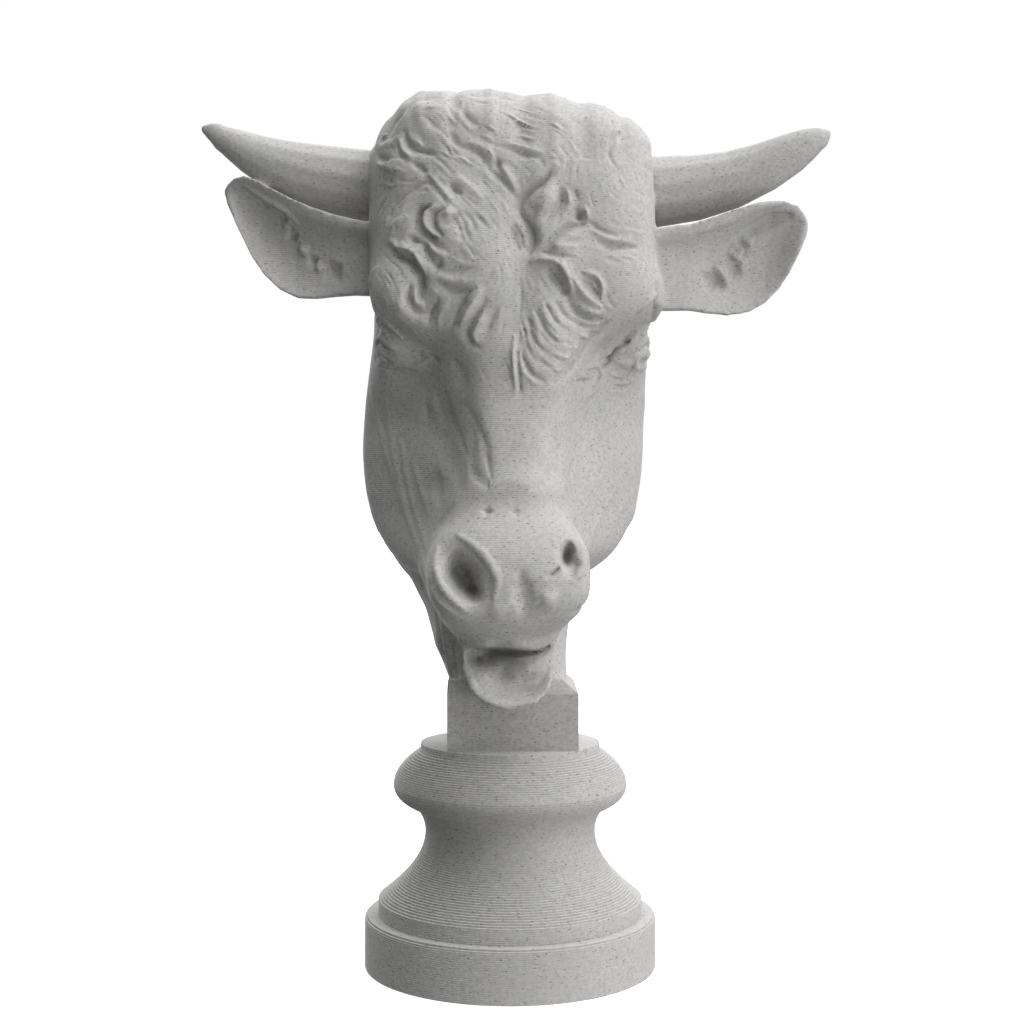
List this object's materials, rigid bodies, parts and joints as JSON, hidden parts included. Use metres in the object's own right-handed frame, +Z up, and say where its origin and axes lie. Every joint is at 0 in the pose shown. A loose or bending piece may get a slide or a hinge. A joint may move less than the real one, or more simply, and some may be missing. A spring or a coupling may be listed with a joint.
{
  "type": "bull head bust",
  "caption": "Small printed bull head bust with short curved horns, spread ears and a hanging lower lip, its neck standing on a square block over a round turned socle.",
  "frame": {"origin": "centre of the socle's flat underside", "axes": "+Z up through the socle and the head, the face looks along -Y, +X to the viewer's right"},
  "size_m": [0.0652, 0.0329, 0.0885],
  "materials": {
    "speckled_print": "matte stone-look filament, light grey with fine dark and brown specks, laid in 0.2 mm layers"
  },
  "bodies": {
    "root": {"bull_head_bust": "speckled_print", "turned_socle": "speckled_print"}
  },
  "joints": []
}
